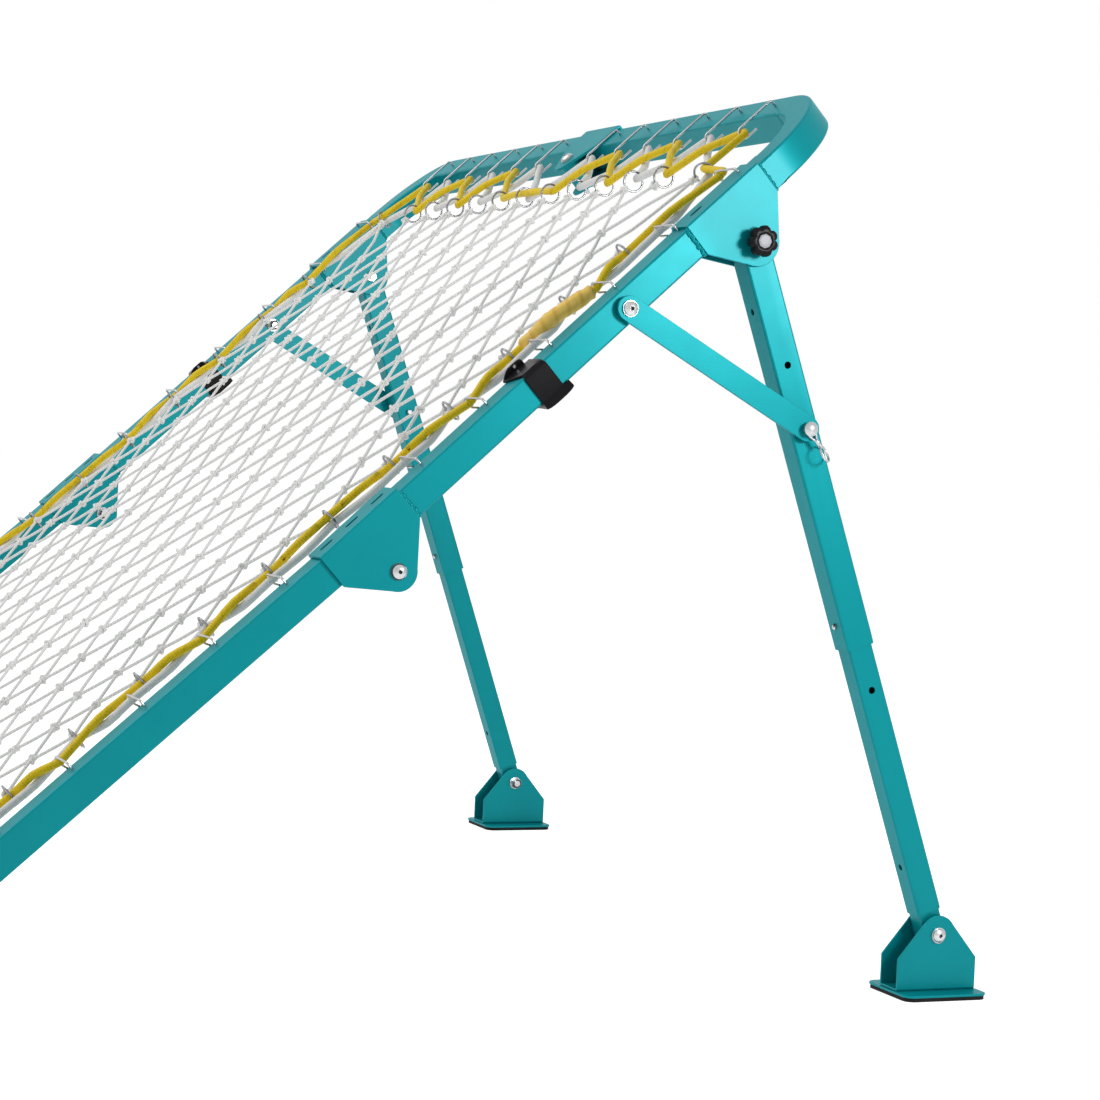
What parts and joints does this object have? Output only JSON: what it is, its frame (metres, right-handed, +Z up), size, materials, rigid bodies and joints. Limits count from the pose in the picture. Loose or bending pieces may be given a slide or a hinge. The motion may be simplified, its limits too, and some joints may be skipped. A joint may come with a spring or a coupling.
{
  "type": "pitch back rebounder",
  "caption": "Free-standing folding ball rebounder: tilted square-tube frame with an elastic-laced net, telescoping rear legs with braces and tilting feet.",
  "frame": {"origin": "middle of the footprint on the ground", "axes": "+X across the frame to the right seen from the net's front, +Y from the net's low front edge towards the feet, +Z up"},
  "size_m": [1.59, 1.4686, 1.1389],
  "materials": {
    "teal_coat": "semi-gloss powder coat",
    "zinc_plate": "bright zinc plate",
    "hook_chrome": "polished",
    "spring_steel": "satin",
    "black_plastic": "fine texture",
    "black_rubber": "matt",
    "white_twine": "twisted twine",
    "yellow_bungee": "braided sheath",
    "white_bungee": "braided sheath",
    "tape": "satin tape"
  },
  "bodies": {
    "upper_frame": {"upper_left_tube": "teal_coat", "upper_right_tube": "teal_coat", "top_bar_bracket": "teal_coat", "top_bar_lug": "teal_coat", "top_bar_bolt": "zinc_plate", "side_hinge_bracket_left": "teal_coat", "side_hinge_bracket_right": "teal_coat", "side_hinge_bolt_left": "zinc_plate", "side_hinge_bolt_right": "zinc_plate", "leg_bracket_left": "teal_coat", "leg_bracket_right": "teal_coat", "leg_pivot_bolt_left": "zinc_plate", "leg_pivot_bolt_right": "zinc_plate", "leg_clip_left": "black_plastic", "leg_clip_right": "black_plastic", "brace_bolt_left": "zinc_plate", "brace_bolt_right": "zinc_plate", "upper_hooks": "hook_chrome", "upper_rings": "hook_chrome", "net": "white_twine", "yellow_cord": "yellow_bungee", "white_cord": "white_bungee", "cord_sleeve": "tape"},
    "lower_frame": {"lower_left_tube": "teal_coat", "lower_right_tube": "teal_coat", "bottom_bar_bracket": "teal_coat", "bottom_bar_lug": "teal_coat", "bottom_bar_bolt": "zinc_plate", "side_hinge_lug_left": "teal_coat", "side_hinge_lug_right": "teal_coat", "lower_hooks": "hook_chrome", "lower_rings": "hook_chrome"},
    "left_leg": {"leg_outer_left": "teal_coat"},
    "left_slider": {"leg_slider_left": "teal_coat", "leg_tongue_left": "teal_coat", "button_spring_left": "spring_steel"},
    "left_button": {"snap_button_left": "zinc_plate"},
    "left_foot": {"foot_bracket_left": "teal_coat", "foot_base_left": "teal_coat", "foot_pad_left": "black_rubber", "foot_bolt_left": "zinc_plate"},
    "left_brace": {"brace_left": "teal_coat"},
    "left_lock_pin": {"lock_pin_left": "zinc_plate"},
    "left_pin_ring": {"pin_ring_left": "hook_chrome"},
    "left_knob": {"star_knob_left": "black_plastic"},
    "right_leg": {"leg_outer_right": "teal_coat"},
    "right_slider": {"leg_slider_right": "teal_coat", "leg_tongue_right": "teal_coat", "button_spring_right": "spring_steel"},
    "right_button": {"snap_button_right": "zinc_plate"},
    "right_foot": {"foot_bracket_right": "teal_coat", "foot_base_right": "teal_coat", "foot_pad_right": "black_rubber", "foot_bolt_right": "zinc_plate"},
    "right_brace": {"brace_right": "teal_coat"},
    "right_lock_pin": {"lock_pin_right": "zinc_plate"},
    "right_pin_ring": {"pin_ring_right": "hook_chrome"},
    "right_knob": {"star_knob_right": "black_plastic"}
  },
  "joints": [
    {"name": "frame_fold", "type": "hinge", "parent": "upper_frame", "child": "lower_frame", "pos_m": [0, -0.06625, 0.52453], "axis": [-1, 0, 0], "range_deg": [-90, 0], "deforming": ["net", "yellow_cord", "white_cord"]},
    {"name": "leg_fold_left", "type": "hinge", "parent": "upper_frame", "child": "left_leg", "pos_m": [-0.74, 0.37692, 0.93492], "axis": [-1, 0, 0], "range_deg": [0, 59], "deforming": ["lock_pin_left"]},
    {"name": "brace_swing_left", "type": "hinge", "parent": "upper_frame", "child": "left_brace", "pos_m": [-0.764, 0.21072, 0.84506], "axis": [-1, 0, 0], "range_deg": [0, 108.58]},
    {"name": "leg_extend_left", "type": "slide", "parent": "left_leg", "child": "left_slider", "axis": [0, -0.3289, 0.9444], "range_m": [0, 0.19], "deforming": ["snap_button_left"]},
    {"name": "button_press_left", "type": "slide", "parent": "left_slider", "child": "left_button", "axis": [0, 0.9444, 0.3289], "range_m": [0, 0.0062], "stiffness_N_per_m": 1500, "deforming": ["button_spring_left"]},
    {"name": "foot_tilt_left", "type": "hinge", "parent": "left_slider", "child": "left_foot", "pos_m": [-0.74, 0.67533, 0.078], "axis": [1, 0, 0], "range_deg": [-25, 25]},
    {"name": "lock_pin_pull_left", "type": "slide", "parent": "left_leg", "child": "left_lock_pin", "axis": [-1, 0, 0], "range_m": [0, 0.06]},
    {"name": "pin_ring_swing_left", "type": "hinge", "parent": "left_lock_pin", "child": "left_pin_ring", "pos_m": [-0.772, 0.45503, 0.71063], "axis": [1, 0, 0], "range_deg": [-60, 30]},
    {"name": "knob_turn_left", "type": "hinge", "parent": "upper_frame", "child": "left_knob", "pos_m": [-0.78, 0.37692, 0.93492], "axis": [-1, 0, 0], "range_deg": [0, 720]},
    {"name": "leg_fold_right", "type": "hinge", "parent": "upper_frame", "child": "right_leg", "pos_m": [0.74, 0.37692, 0.93492], "axis": [-1, 0, 0], "range_deg": [0, 59], "deforming": ["lock_pin_right"]},
    {"name": "brace_swing_right", "type": "hinge", "parent": "upper_frame", "child": "right_brace", "pos_m": [0.764, 0.21072, 0.84506], "axis": [-1, 0, 0], "range_deg": [0, 108.58]},
    {"name": "leg_extend_right", "type": "slide", "parent": "right_leg", "child": "right_slider", "axis": [0, -0.3289, 0.9444], "range_m": [0, 0.19], "deforming": ["snap_button_right"]},
    {"name": "button_press_right", "type": "slide", "parent": "right_slider", "child": "right_button", "axis": [0, 0.9444, 0.3289], "range_m": [0, 0.0062], "stiffness_N_per_m": 1500, "deforming": ["button_spring_right"]},
    {"name": "foot_tilt_right", "type": "hinge", "parent": "right_slider", "child": "right_foot", "pos_m": [0.74, 0.67533, 0.078], "axis": [1, 0, 0], "range_deg": [-25, 25]},
    {"name": "lock_pin_pull_right", "type": "slide", "parent": "right_leg", "child": "right_lock_pin", "axis": [1, 0, 0], "range_m": [0, 0.06]},
    {"name": "pin_ring_swing_right", "type": "hinge", "parent": "right_lock_pin", "child": "right_pin_ring", "pos_m": [0.772, 0.45503, 0.71063], "axis": [1, 0, 0], "range_deg": [-60, 30]},
    {"name": "knob_turn_right", "type": "hinge", "parent": "upper_frame", "child": "right_knob", "pos_m": [0.78, 0.37692, 0.93492], "axis": [1, 0, 0], "range_deg": [0, 720]}
  ],
  "couplings": [
    {"joint": "brace_swing_left", "follows": "leg_fold_left", "ratio": 1.8369},
    {"joint": "brace_swing_right", "follows": "leg_fold_right", "ratio": 1.8369}
  ]
}
